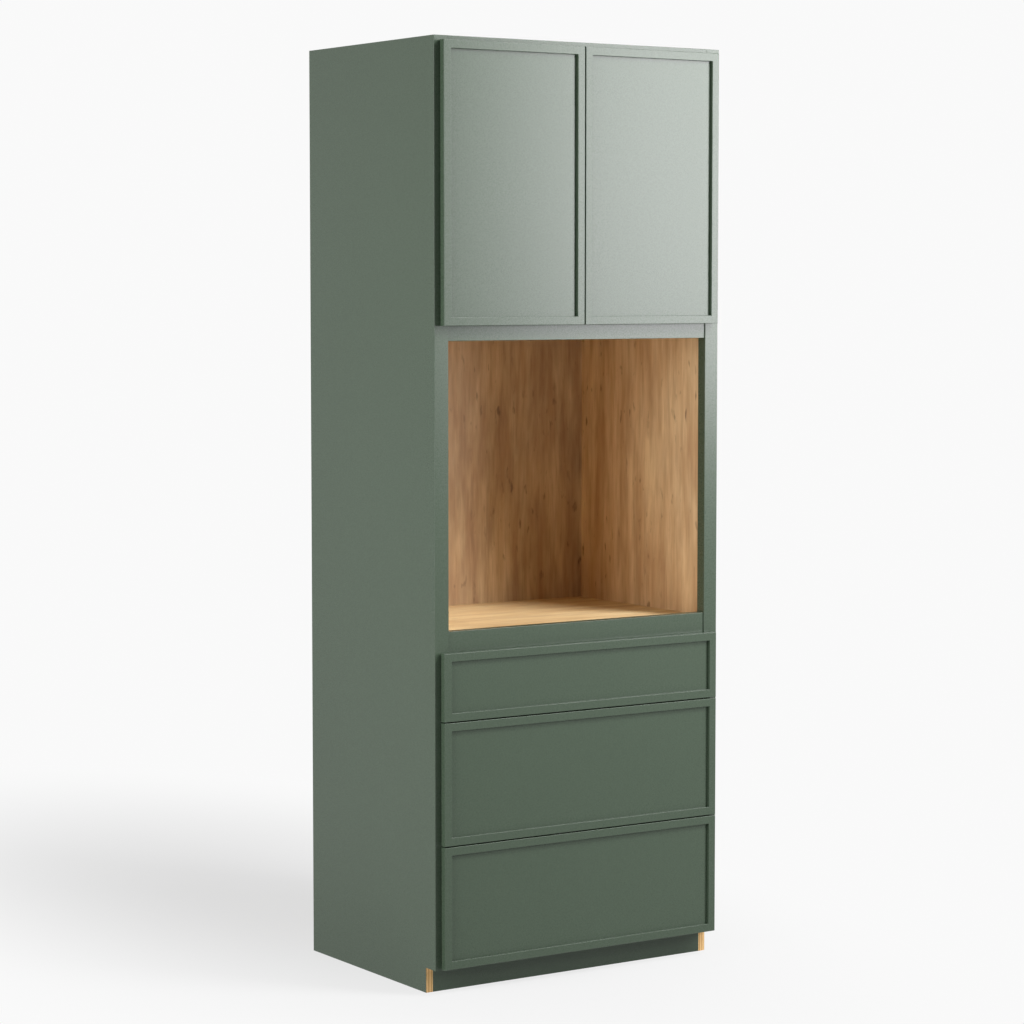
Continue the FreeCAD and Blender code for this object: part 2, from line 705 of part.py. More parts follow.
def make_box_side(name, side, floor, height):
    """A drawer-box side with dovetail tails at both ends, the lowest ones square with the bottom edge."""
    body = new_body(name)
    length = "Places.box_length"
    shoulder = "Sizes.box_thick"
    far_shoulder = "Places.box_length - Sizes.box_thick"
    low_neck = "Sizes.bottom_tail - Sizes.tail_taper"
    profile = sketch_on(body, "profile", "YZ_Plane")
    outline(profile, [
        (0, 0), (length, 0), (length, "Sizes.bottom_tail"), (far_shoulder, low_neck),
        (far_shoulder, height), (shoulder, height), (shoulder, low_neck), (0, "Sizes.bottom_tail"),
    ])
    pad(body, profile, "Sizes.box_thick", reverse=True)
    first = "Sizes.bottom_tail + Sizes.tail_pitch - Sizes.tail_width"
    last = f"{first} + Sizes.tail_width"
    neck_low = f"{first} + Sizes.tail_taper"
    neck_high = f"{last} - Sizes.tail_taper"
    tails = sketch_on(body, "tails", "YZ_Plane")
    outline(tails, [(0, first), (shoulder, neck_low), (shoulder, neck_high), (0, last)])
    outline(tails, [(length, first), (length, last), (far_shoulder, neck_high), (far_shoulder, neck_low)])
    tail = pad(body, tails, "Sizes.box_thick", reverse=True)
    row_upwards(body, tail, tails, "Sizes.tail_pitch",
                f"floor(({height} - Sizes.bottom_tail) / Sizes.tail_pitch)")
    turn = 180 if side < 0 else 0
    start = "Places.box_rear" if side < 0 else "Places.fronts_back"
    return move(body, f"{side} * Places.half_box", start, floor, Z_AXIS, turn)


def make_box(label, opening_floor, top):
    """A dovetailed drawer box: two sides, a front, a raised back and a grooved-in bottom."""
    floor = f"{opening_floor} + Sizes.box_floor_gap"
    height = f"({top} - ({floor}))"
    bottom_low = f"{floor} + Sizes.box_bottom_rise"
    bottom_high = f"{bottom_low} + Sizes.box_bottom_thick"
    half_bottom = "(Places.half_box - Sizes.box_thick + Sizes.box_groove_depth)"
    bottom = board(f"{label}_bottom", (f"-{half_bottom}", half_bottom),
                   ("Places.fronts_back + Sizes.box_thick - Sizes.box_groove_depth", "Places.box_rear"),
                   (bottom_low, bottom_high))
    sides = []
    for side_name, side in (("left", -1), ("right", 1)):
        blank = make_box_side(f"{label}_{side_name}_side", side, floor, height)
        sides.append(cut(f"{label}_{side_name}_side_cut", blank, [bottom]))
    width = ("-Places.half_box", "Places.half_box")
    front_blank = board(f"{label}_front_blank", width,
                        ("Places.fronts_back", "Places.fronts_back + Sizes.box_thick"), (floor, top))
    back_blank = board(f"{label}_back_blank", width,
                       ("Places.box_rear - Sizes.box_thick", "Places.box_rear"), (bottom_high, top))
    front = cut(f"{label}_front_cut", front_blank, sides + [bottom])
    back = cut(f"{label}_back_cut", back_blank, sides)
    keep(group(f"{label}_side_group", sides), f"{label}_box_sides")
    keep(group(f"{label}_end_group", [front, back]), f"{label}_box_ends")
    keep(bottom, f"{label}_box_bottom")


def channel(left, right, top, foot):
    """Corners of an inverted channel of the slides' gauge."""
    gauge = "Sizes.slide_gauge"
    return [
        (left, foot), (f"{left} + {gauge}", foot), (f"{left} + {gauge}", f"{top} - {gauge}"),
        (f"{right} - {gauge}", f"{top} - {gauge}"), (f"{right} - {gauge}", foot), (right, foot),
        (right, top), (left, top),
    ]


RUNNER_LEFT = "(Sizes.box_side_gap + Sizes.box_thick + Sizes.runner_inset)"
RUNNER_TOP = "Sizes.box_bottom_rise"
NEST = "(Sizes.slide_gauge + Sizes.slide_play)"


def runner_section():
    """The member fixed under the drawer bottom."""
    return channel(RUNNER_LEFT, f"{RUNNER_LEFT} + Sizes.runner_width", RUNNER_TOP,
                   f"{RUNNER_TOP} - Sizes.runner_leg")


def middle_section():
    """The member that runs inside the drawer's one and carries it."""
    return channel(f"{RUNNER_LEFT} + {NEST}", f"{RUNNER_LEFT} + Sizes.runner_width - {NEST}",
                   f"{RUNNER_TOP} - {NEST}", f"{RUNNER_TOP} - {NEST} - Sizes.runner_leg")


def cabinet_section():
    """The fixed member: a wall flange, a floor plate under the box side and a raised track."""
    gauge = "Sizes.slide_gauge"
    left = f"{RUNNER_LEFT} + 2 * {NEST}"
    right = f"{RUNNER_LEFT} + Sizes.runner_width - 2 * {NEST}"
    top = f"{RUNNER_TOP} - 2 * {NEST}"
    foot = "Sizes.slide_floor_gap - Sizes.box_floor_gap"
    flange_top = f"{foot} + Sizes.slide_flange_height"
    return [
        (0, foot), (f"{left} + {gauge}", foot), (f"{left} + {gauge}", f"{top} - {gauge}"),
        (f"{right} - {gauge}", f"{top} - {gauge}"), (f"{right} - {gauge}", foot), (right, foot),
        (right, top), (left, top), (left, f"{foot} + {gauge}"), (gauge, f"{foot} + {gauge}"),
        (gauge, flange_top), (0, flange_top),
    ]


def make_slide_pair(name, section, opening_floor, front, length):
    """The left and right members of one kind, run along their section."""
    pair = []
    level = f"{opening_floor} + Sizes.box_floor_gap"
    for side_name, side in (("left", -1), ("right", 1)):
        body = new_body(f"{name}_{side_name}")
        sketch = sketch_on(body, "section", "XZ_Plane")
        outline(sketch, section)
        pad(body, sketch, length, reverse=True)
        start = front if side < 0 else f"{front} + {length}"
        turn = 0 if side < 0 else 180
        pair.append(move(body, f"{side} * Places.half_opening", start, level, Z_AXIS, turn))
    return pair


def make_packers(name, opening_floor):
    """Blocks that bring the slide seats flush with the frame opening."""
    levels = (opening_floor, f"{opening_floor} + Sizes.packer_height")
    return [
        board(f"{name}_left_packer", ("-Places.half_inside", "-Places.half_opening"), BEHIND_FRAME, levels),
        board(f"{name}_right_packer", ("Places.half_opening", "Places.half_inside"), BEHIND_FRAME, levels),
    ]


def make_drawer(label, low, high, opening_floor, box_top):
    """A drawer with its front, box and moving slide members."""
    sticks, panel = make_front(label, "-Places.half_front", "Places.half_front", low, high)
    keep(group(f"{label}_stick_group", list(sticks.values())), f"{label}_front_frame")
    keep(panel, f"{label}_front_panel")
    make_box(label, opening_floor, box_top)
    runner_front = "Places.fronts_back + Sizes.box_thick"
    runners = make_slide_pair(f"{label}_runner", runner_section(), opening_floor, runner_front,
                              "Places.box_length - Sizes.box_thick")
    middles = make_slide_pair(f"{label}_middle", middle_section(), opening_floor, "Places.slide_front",
                              "Places.middle_rail_length")
    keep(group(f"{label}_runner_group", runners), f"{label}_drawer_rails")
    keep(group(f"{label}_middle_group", middles), f"{label}_middle_rails")


DRAWERS = {
    "top_drawer": ("Places.top_front_low", "Places.top_front_high", "Places.top_floor",
                   "Places.sill_rail_low - Sizes.shallow_box_top_gap"),
    "middle_drawer": ("Places.middle_front_low", "Places.middle_front_high", "Places.middle_floor",
                      "Places.upper_rail_low - Sizes.deep_box_top_gap"),
    "bottom_drawer": ("Places.bottom_front_low", "Places.bottom_front_high", "Places.bottom_floor",
                      "Places.lower_rail_low - Sizes.deep_box_top_gap"),
}


def make_slide_seats():
    """The fixed slide members on their packers, for every drawer."""
    packers = []
    fixed_rails = []
    for label, (_, _, opening_floor, _) in DRAWERS.items():
        packers += make_packers(label, opening_floor)
        fixed_rails += make_slide_pair(f"{label}_fixed", cabinet_section(), opening_floor,
                                       "Places.slide_front", "Places.cabinet_rail_length")
    keep(group("packer_group", packers), "slide_packers")
    keep(group("fixed_rail_group", fixed_rails), "slide_cabinet_rails")


# The whole cabinet

def make_cabinet():
    """Build every sub-part."""
    fitted = make_decks() + [make_back()]
    make_side("left_side_panel", -1, fitted)
    make_side("right_side_panel", 1, fitted)
    make_toe_board()
    make_face_frame()
    make_liners()
    make_shelf()
    arms = make_door("left_door", -1) + make_door("right_door", 1)
    keep(group("arm_group", arms), "hinge_arms")
    make_slide_seats()
    for label, sizes in DRAWERS.items():
        make_drawer(label, *sizes)


def check_model():
    """Stop if any object failed or any sub-part has no sound shape."""
    for item in doc.Objects:
        if "Invalid" in item.State or "Error" in item.State:
            raise ValueError(f"{item.Name} failed: {item.State}")
    for node in nodes:
        if node.Shape.isNull() or not node.Shape.isValid():
            raise ValueError(f"{node.Label} has no sound shape")


make_cabinet()
doc.recompute()
check_model()
os.makedirs("parts", exist_ok=True)
for node in nodes:
    node.Shape.exportStep(f"parts/{node.Label}.step")
print(f"{len(nodes)} sub-parts written")
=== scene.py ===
import math

import bmesh
import bpy
from mathutils import Matrix, Vector


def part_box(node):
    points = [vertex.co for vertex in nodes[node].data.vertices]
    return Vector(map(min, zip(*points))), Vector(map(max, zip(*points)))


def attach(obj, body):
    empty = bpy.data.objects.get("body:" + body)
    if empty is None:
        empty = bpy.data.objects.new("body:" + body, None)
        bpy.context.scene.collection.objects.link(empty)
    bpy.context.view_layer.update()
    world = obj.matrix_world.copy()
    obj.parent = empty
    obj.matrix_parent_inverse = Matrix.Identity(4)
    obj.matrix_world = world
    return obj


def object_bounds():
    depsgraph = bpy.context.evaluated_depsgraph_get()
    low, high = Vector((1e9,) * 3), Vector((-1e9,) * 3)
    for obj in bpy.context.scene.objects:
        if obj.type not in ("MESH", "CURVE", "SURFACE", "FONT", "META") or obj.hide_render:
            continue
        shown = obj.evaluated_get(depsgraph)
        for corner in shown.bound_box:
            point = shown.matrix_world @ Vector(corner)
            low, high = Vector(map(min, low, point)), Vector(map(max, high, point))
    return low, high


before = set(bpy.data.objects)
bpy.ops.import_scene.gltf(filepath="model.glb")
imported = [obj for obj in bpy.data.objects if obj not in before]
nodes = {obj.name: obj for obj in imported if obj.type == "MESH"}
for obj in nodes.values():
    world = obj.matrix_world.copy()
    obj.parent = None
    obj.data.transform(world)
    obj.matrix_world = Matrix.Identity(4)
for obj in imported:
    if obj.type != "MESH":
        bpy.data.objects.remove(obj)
cad_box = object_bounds()

MM = 0.001
DRAWERS = ("top_drawer", "middle_drawer", "bottom_drawer")


def linear(red, green, blue):
    """A colour given as 0 to 255 display values, as the shader's linear values."""
    values = []
    for part in (red, green, blue):
        share = part / 255
        values.append(share / 12.92 if share <= 0.04045 else ((share + 0.055) / 1.055) ** 2.4)
    return (*values, 1)


# Building materials from nodes

# Where most values of a noise lie
NOISE_SPAN = (0.3, 0.7)


class Surface:
    """A material and short calls for the nodes that feed its shader."""

    def __init__(self, name):
        self.material = bpy.data.materials.new(name)
        self.material.use_nodes = True
        self.tree = self.material.node_tree
        self.shader = self.tree.nodes["Principled BSDF"]
        self.place = self.tree.nodes.new("ShaderNodeTexCoord").outputs["Object"]

    def add(self, kind, inputs, **settings):
        """A node with some settings changed and some inputs linked or set."""
        node = self.tree.nodes.new(kind)
        for name, value in settings.items():
            setattr(node, name, value)
        for name, value in inputs.items():
            self.feed(node.inputs[name], value)
        return node

    def feed(self, socket, value):
        """Link another node's output to a socket, or set the socket's value."""
        if isinstance(value, bpy.types.NodeSocket):
            self.tree.links.new(value, socket)
        else:
            socket.default_value = value

    def stretch(self, place, scale):
        """Coordinates scaled along each axis."""
        return self.add("ShaderNodeMapping", {"Vector": place, "Scale": scale}).outputs["Vector"]

    def noise(self, place, scale=1.0, detail=2.0, roughness=0.5):
        """Cloudy values about 0.5."""
        made = self.add("ShaderNodeTexNoise", {"Vector": place, "Scale": scale, "Detail": detail,
                                               "Roughness": roughness})
        return made.outputs["Fac"]

    def remap(self, value, span, target=(0.0, 1.0)):
        """Values from one span to another, held at its ends."""
        made = self.add("ShaderNodeMapRange", {"Value": value, "From Min": span[0], "From Max": span[1],
                                               "To Min": target[0], "To Max": target[1]})
        return made.outputs["Result"]

    def arithmetic(self, operation, first, second):
        """One arithmetic step on two values."""
        return self.add("ShaderNodeMath", {0: first, 1: second}, operation=operation).outputs["Value"]

    def mix(self, share, first, second):
        """The second colour laid over the first by a share."""
        made = self.add("ShaderNodeMix", {"Factor": share, "A": first, "B": second}, data_type="RGBA")
        return made.outputs["Result"]

    def bump(self, height, distance):
        """Feed the shader's normal from a height map."""
        made = self.add("ShaderNodeBump", {"Height": height, "Distance": distance})
        self.feed(self.shader.inputs["Normal"], made.outputs["Normal"])

    def finish(self, colour, roughness, **constants):
        """Feed the shader and hand back the material."""
        self.feed(self.shader.inputs["Base Color"], colour)
        self.feed(self.shader.inputs["Roughness"], roughness)
        for name, value in constants.items():
            self.shader.inputs[name.replace("_", " ")].default_value = value
        return self.material


def paint(name, colour, deeper):
    """Sprayed satin paint: slight cloudiness of shade, and a fine orange-peel skin that varies the gloss."""
    made = Surface(name)
    clouds = made.noise(made.place, scale=1.7, detail=2)
    specks = made.noise(made.place, scale=420, detail=2)
    speck_share = 0.4
    mottle = made.arithmetic("ADD", clouds, made.arithmetic("MULTIPLY", specks, speck_share))
    shade = made.remap(mottle, (0.45, 0.95))
    peel = made.noise(made.place, scale=640, detail=2, roughness=0.4)
    peel_depth = 0.005 * MM
    made.bump(peel, peel_depth)
    return made.finish(made.mix(shade, deeper, colour), made.remap(peel, NOISE_SPAN, (0.265, 0.285)), IOR=1.4)


def along(axis, run, across):
    """Scales that draw a pattern out along one axis."""
    scales = [across, across, across]
    scales["XYZ".index(axis)] = run
    return scales


def veneer(name, axis, shades, fleck_share=0.6, gloss=(0.46, 0.6), ior=1.4):
    """Sliced wood with its grain along one axis: soft bands, streaks, fine fibres and small dark flecks."""
    pale, warm, dark, fleck = shades
    made = Surface(name)
    sway = made.noise(made.stretch(made.place, along(axis, 1.6, 5)), detail=2)
    most_sway = 35 * MM
    drift = made.arithmetic("MULTIPLY", sway, most_sway)
    swayed = made.add("ShaderNodeVectorMath", {0: made.place, 1: drift}, operation="ADD").outputs["Vector"]
    bands = made.noise(made.stretch(swayed, along(axis, 2.8, 24)), detail=4, roughness=0.6)
    broad = made.noise(made.stretch(swayed, along(axis, 3.6, 17)), detail=3, roughness=0.6)
    streaks = made.noise(made.stretch(swayed, along(axis, 6, 80)), detail=3, roughness=0.6)
    fibres = made.noise(made.stretch(made.place, along(axis, 11, 620)), detail=3, roughness=0.7)
    marks = made.noise(made.stretch(swayed, along(axis, 22, 66)), detail=2, roughness=0.5)
    patches = made.noise(made.place, scale=6, detail=1)
    colour = made.mix(made.remap(bands, (0.36, 0.64)), pale, warm)
    colour = made.mix(made.remap(broad, (0.42, 0.7), (0, 0.5)), colour, dark)
    colour = made.mix(made.remap(streaks, (0.48, 0.76), (0, 0.42)), colour, dark)
    colour = made.mix(made.remap(fibres, (0.35, 0.75), (0, 0.28)), colour, dark)
    spots = made.arithmetic("MULTIPLY", made.remap(marks, (0.635, 0.745)), made.remap(patches, (0.38, 0.58)))
    colour = made.mix(made.arithmetic("MULTIPLY", spots, fleck_share), colour, fleck)
    fibre_depth = 0.06 * MM
    made.bump(fibres, fibre_depth)
    return made.finish(colour, made.remap(fibres, NOISE_SPAN, gloss), IOR=ior)


def ply_edge(name, axis, pale, dark):
    """The raw edge of a plywood board: light and dark plies stacked along one axis."""
    made = Surface(name)
    waver = made.noise(made.place, scale=60, detail=2)
    stacked = made.stretch(made.place, along(axis, 1, 0.02))
    layers = made.add("ShaderNodeTexWave", {"Vector": stacked, "Scale": 42, "Distortion": 0.6, "Detail": 1},
                      bands_direction=axis, wave_profile="SIN").outputs["Fac"]
    pores = made.noise(made.place, scale=900, detail=2)
    waver_share = 0.3
    wavy = made.arithmetic("ADD", layers, made.arithmetic("MULTIPLY", waver, waver_share))
    plies = made.remap(wavy, (0.35, 0.8))
    colour = made.mix(plies, dark, pale)
    colour = made.mix(made.remap(pores, (0.5, 0.75), (0, 0.4)), colour, dark)
    saw_depth = 0.08 * MM
    made.bump(made.arithmetic("ADD", plies, pores), saw_depth)
    return made.finish(colour, made.remap(pores, NOISE_SPAN, (0.62, 0.78)))


def end_grain(name, pale, dark):
    """Wood cut across the grain: growth rings and open pores."""
    made = Surface(name)
    rings = made.add("ShaderNodeTexWave", {"Vector": made.place, "Scale": 95, "Distortion": 5, "Detail": 3,
                                           "Detail Scale": 1.4}, wave_type="RINGS").outputs["Fac"]
    pores = made.noise(made.place, scale=1400, detail=2)
    colour = made.mix(made.remap(rings, (0.1, 0.9), (0.1, 0.8)), pale, dark)
    colour = made.mix(made.remap(pores, (0.52, 0.7), (0, 0.5)), colour, dark)
    pore_depth = 0.06 * MM
    made.bump(pores, pore_depth)
    return made.finish(colour, made.remap(pores, NOISE_SPAN, (0.6, 0.75)))


def plated_steel(name, axis, colour, stain):
    """Rolled steel with a dull plated skin: fine rolling lines and cloudy spangles."""
    made = Surface(name)
    lines = made.noise(made.stretch(made.place, along(axis, 18, 1500)), detail=2)
    spangle = made.add("ShaderNodeTexVoronoi", {"Vector": made.place, "Scale": 210}).outputs["Distance"]
    clouds = made.noise(made.place, scale=46, detail=4)
    spangle_share = 0.25
    stained = made.arithmetic("ADD", made.remap(clouds, (0.35, 0.7), (0, 0.6)),
                              made.arithmetic("MULTIPLY", spangle, spangle_share))
    line_depth = 0.02 * MM
    made.bump(lines, line_depth)
    roughness = made.remap(lines, NOISE_SPAN, (0.26, 0.4))
    return made.finish(made.mix(stained, colour, stain), roughness, Metallic=1.0)


def rubber(name, colour, paler):
    """Soft clear-grey rubber with a bloom."""
    made = Surface(name)
    bloom = made.noise(made.place, scale=380, detail=3)
    bloom_depth = 0.03 * MM
    made.bump(bloom, bloom_depth)
    return made.finish(made.mix(made.remap(bloom, (0.35, 0.7)), colour, paler),
                       made.remap(bloom, NOISE_SPAN, (0.4, 0.6)), Transmission_Weight=0.25)


PAINT = paint("satin_green", linear(64, 78, 63), linear(62, 76, 61))
WALL_SHADES = (linear(230, 204, 161), linear(205, 171, 129), linear(154, 116, 83), linear(84, 55, 38))
# The back panel's shades are darker than the walls': painted shade on the back of the oven bay, where little
# light reaches
BACK_SHADES_WITH_PAINTED_SHADE = (linear(222, 195, 153), linear(192, 158, 119), linear(134, 98, 71), linear(74, 48, 33))
# The flat boards' shades are paler and less saturated than the walls': partly a different sheet of veneer,
# partly painted light standing in for the light falling on their tops
DECK_SHADES_WITH_PAINTED_LIGHT = (linear(240, 219, 172), linear(222, 193, 144), linear(178, 138, 92), linear(120, 82, 52))
VENEER = {axis: veneer(f"ply_veneer_{axis.lower()}", axis, WALL_SHADES) for axis in "YZ"}
VENEER["X"] = veneer("ply_veneer_x", "X", DECK_SHADES_WITH_PAINTED_LIGHT, fleck_share=0.3)
BACK_VENEER_WITH_PAINTED_SHADE = veneer("ply_back_veneer_painted_shade", "Z", BACK_SHADES_WITH_PAINTED_SHADE)
RAW_SHADES = (linear(226, 200, 154), linear(208, 174, 128), linear(164, 122, 80), linear(112, 74, 46))
RAW_VENEER = veneer("ply_raw_veneer", "X", RAW_SHADES, fleck_share=0.4, gloss=(0.8, 0.95), ior=1.15)
EDGE_SHADES = (linear(224, 188, 130), linear(188, 144, 86))
EDGES = {axis: ply_edge(f"ply_edge_{axis.lower()}", axis, *EDGE_SHADES) for axis in "XYZ"}
BIRCH_SHADES = (linear(232, 206, 166), linear(220, 188, 142), linear(196, 156, 108), linear(150, 108, 66))
BIRCH = {axis: veneer(f"birch_{axis.lower()}", axis, BIRCH_SHADES, fleck_share=0.2) for axis in "XY"}
BIRCH_END = end_grain("birch_end", linear(206, 168, 118), linear(156, 112, 68))
STEEL = plated_steel("zinc_steel_y", "Y", linear(205, 207, 210), linear(168, 172, 178))
NICKEL = plated_steel("nickel_steel_z", "Z", linear(214, 210, 203), linear(182, 178, 172))
RUBBER = rubber("bumper_rubber", linear(196, 198, 196), linear(222, 224, 222))


# Materials on the CAD pieces

# The least share of a face's normal that counts as looking along an axis
FACING = 0.9


def dress(name, *layers):
    """Give a node its first material, and each later one to the faces that its test picks."""
    mesh = nodes[name].data
    mesh.materials.clear()
    for material, _ in layers:
        mesh.materials.append(material)
    for face in mesh.polygons:
        face.material_index = 0
        for index, (_, test) in enumerate(layers):
            if test is not None and test(face.normal, face.center):
                face.material_index = index


def faces_along(axis):
    """A test that picks the faces that look along an axis, either way."""
    index = "XYZ".index(axis)
    return lambda normal, centre: abs(normal[index]) > FACING


def outer_side(normal, centre):
    """Picks the outer face of a side panel."""
    return abs(normal.x) > FACING and abs(centre.x) > cad_box[1].x - 0.5 * MM


def dress_carcass():
    """Painted outside and face frame, clear-finished plywood inside, raw plywood above and behind."""
    painted = ("left_stile", "right_stile", "top_rail", "oven_head_rail", "oven_sill_rail",
               "upper_drawer_rail", "lower_drawer_rail", "bottom_rail", "toe_kick_board")
    for name in painted:
        dress(name, (PAINT, None))
    for name in ("left_side_panel", "right_side_panel"):
        dress(name, (VENEER["Z"], None), (EDGES["X"], faces_along("Y")), (EDGES["X"], faces_along("Z")),
              (PAINT, outer_side))
    dress("top_panel", (RAW_VENEER, None), (EDGES["Z"], faces_along("Y")), (EDGES["Z"], faces_along("X")))
    # The decks, cupboard floor and shelf take the paler veneer, which is partly painted light
    for name in ("cupboard_floor", "bottom_deck", "oven_deck"):
        dress(name, (VENEER["X"], None), (EDGES["Z"], faces_along("Y")), (EDGES["Z"], faces_along("X")))
    dress("cupboard_shelf", (VENEER["X"], None), (EDGES["Z"], faces_along("X")))
    # The back panel takes the darker veneer, which paints shade onto it
    dress("back_panel", (BACK_VENEER_WITH_PAINTED_SHADE, None), (EDGES["Y"], faces_along("X")), (EDGES["Y"], faces_along("Z")))
    dress("hanging_rails", (RAW_VENEER, None), (EDGES["Y"], faces_along("Z")))
    for name in ("left_oven_liner", "right_oven_liner"):
        dress(name, (VENEER["Z"], None), (EDGES["X"], faces_along("Y")))
    dress("slide_packers", (VENEER["Y"], None), (EDGES["X"], faces_along("Z")))
    dress("slide_cabinet_rails", (STEEL, None))
    for name in ("shelf_pins", "hinge_arms"):
        dress(name, (NICKEL, None))


def dress_fronts():
    """Painted doors and drawer fronts, birch boxes and steel fittings."""
    for side in ("left", "right"):
        for piece in ("hinge_stile", "meeting_stile", "top_rail", "bottom_rail", "panel"):
            dress(f"{side}_door_{piece}", (PAINT, None))
        dress(f"{side}_door_hinge_cups", (NICKEL, None))
    for drawer in DRAWERS:
        dress(f"{drawer}_front_frame", (PAINT, None))
        dress(f"{drawer}_front_panel", (PAINT, None))
        dress(f"{drawer}_box_sides", (BIRCH["Y"], None), (BIRCH_END, faces_along("Y")))
        dress(f"{drawer}_box_ends", (BIRCH["X"], None), (BIRCH_END, faces_along("X")))
        dress(f"{drawer}_box_bottom", (BIRCH["X"], None), (EDGES["Z"], faces_along("Y")))
        dress(f"{drawer}_drawer_rails", (STEEL, None))
        dress(f"{drawer}_middle_rails", (STEEL, None))


dress_carcass()
dress_fronts()


# Screws and bumpers, with lengths in millimetres

ROUND_SIDES = 24


def bridge(made, first, second):
    """A band of faces between two rings of points."""
    for step in range(ROUND_SIDES):
        after = (step + 1) % ROUND_SIDES
        made.faces.new((first[step], first[after], second[after], second[step]))


def turned(profile):
    """A closed round solid from a profile of radius and height, in a mesh of its own."""
    made = bmesh.new()
    rings = []
    for radius, height in profile:
        ring = []
        for step in range(ROUND_SIDES):
            angle = math.tau * step / ROUND_SIDES
            ring.append(made.verts.new((radius * math.cos(angle), radius * math.sin(angle), height)))
        rings.append(ring)
    for lower, upper in zip(rings, rings[1:]):
        bridge(made, lower, upper)
    made.faces.new(list(reversed(rings[0])))
    made.faces.new(rings[-1])
    for face in made.faces:
        face.smooth = True
    return made


def screw_head():
    """A pan head with a cross recess sunk into its crown."""
    crown_height = 1.18
    lip_height = 1.2
    recess_floor = 0.35
    recess_taper = 0.7
    arm_reach = 1.45
    web_reach = 0.5
    arm_edge = 0.86
    close = 0.01
    crown = turned([(3.3, 0), (3.3, 0.35), (3.05, 0.75), (2.5, 1.02), (1.7, crown_height)])
    rim = [vert for vert in crown.verts if abs(vert.co.z - crown_height) < close]
    cap = next(face for face in crown.faces if all(vert in rim for vert in face.verts))
    crown.faces.remove(cap)
    rim.sort(key=lambda vert: math.atan2(vert.co.y, vert.co.x))
    cross = []
    for vert in rim:
        angle = math.atan2(vert.co.y, vert.co.x)
        reach = arm_reach if abs(math.cos(2 * angle)) > arm_edge else web_reach
        cross.append((reach * math.cos(angle), reach * math.sin(angle)))
    lip = [crown.verts.new((x, y, lip_height)) for x, y in cross]
    floor = [crown.verts.new((recess_taper * x, recess_taper * y, recess_floor)) for x, y in cross]
    bridge(crown, rim, lip)
    bridge(crown, lip, floor)
    crown.faces.new(floor)
    return crown


def bumper_dome(height):
    """A low rubber dome on its flat foot."""
    return turned([(4.5, 0), (4.5, 0.3 * height), (4.1, 0.6 * height), (3.1, 0.85 * height), (1.6, height)])


def fasten(name, body, material, make, spots):
    """Copies of one small solid at given spots, each with the way that its top faces, as one piece."""
    whole = bmesh.new()
    for place, facing in spots:
        single = make()
        turn = Vector(facing).to_track_quat("Z", "Y").to_matrix().to_4x4()
        single.transform(Matrix.Scale(MM, 4) @ Matrix.Translation(Vector(place)) @ turn)
        copy = bpy.data.meshes.new("copy")
        single.to_mesh(copy)
        single.free()
        whole.from_mesh(copy)
        bpy.data.meshes.remove(copy)
    mesh = bpy.data.meshes.new(name)
    whole.to_mesh(mesh)
    whole.free()
    mesh.materials.append(material)
    piece = bpy.data.objects.new(name, mesh)
    bpy.context.scene.collection.objects.link(piece)
    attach(piece, body)


def millimetres(node):
    """The low and high corners of a node's box, in millimetres."""
    low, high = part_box(node)
    return low / MM, high / MM


def add_hinge_screws():
    """Two screws in each cup's wings and two through each arm's plate."""
    half_wings = 26
    wing_screw = 21.7
    for side in ("left", "right"):
        low, high = millimetres(f"{side}_door_hinge_cups")
        spots = []
        for level in (low.z + half_wings, high.z - half_wings):
            for offset in (-wing_screw, wing_screw):
                spots.append((((low.x + high.x) / 2, high.y, level + offset), (0, 1, 0)))
        fasten(f"{side}_door_hinge_screws", f"{side}_door", NICKEL, screw_head, spots)
    half_plate = 21
    plate_screw = 13.5
    plate_thick = 1.6
    rear_distance = 9
    arms_low, arms_high = millimetres("hinge_arms")
    plate_face = millimetres("left_stile")[1].x + plate_thick
    spots = []
    for sign in (-1, 1):
        for level in (arms_low.z + half_plate, arms_high.z - half_plate):
            for offset in (-plate_screw, plate_screw):
                place = (-sign * plate_face, arms_high.y - rear_distance, level + offset)
                spots.append((place, (-sign, 0, 0)))
    fasten("hinge_arm_screws", "carcass", NICKEL, screw_head, spots)


def add_slide_screws():
    """Screws through the wall flanges of the fixed slide members."""
    flange_thick = 1.5
    end_distance = 35
    screw_level = 7
    low, high = millimetres("slide_cabinet_rails")
    flange = high.x - flange_thick
    spots = []
    for drawer in DRAWERS:
        foot = millimetres(f"{drawer}_middle_rails")[0].z
        for sign in (-1, 1):
            for y in (low.y + end_distance, 0, high.y - end_distance):
                spots.append(((sign * flange, y, foot + screw_level), (-sign, 0, 0)))
    fasten("slide_screws", "carcass", STEEL, screw_head, spots)


def add_front_screws():
    """Screws through each box front into the drawer front."""
    box_thick = 16
    half_spread = 290
    lift = 6
    for drawer in DRAWERS:
        low, high = millimetres(f"{drawer}_box_ends")
        centre = (low.z + high.z) / 2 + lift
        rise = (high.z - low.z) / 4
        spots = []
        for x in (-half_spread, half_spread):
            for z in (centre - rise, centre + rise):
                spots.append(((x, low.y + box_thick, z), (0, 1, 0)))
        fasten(f"{drawer}_front_screws", drawer, STEEL, screw_head, spots)


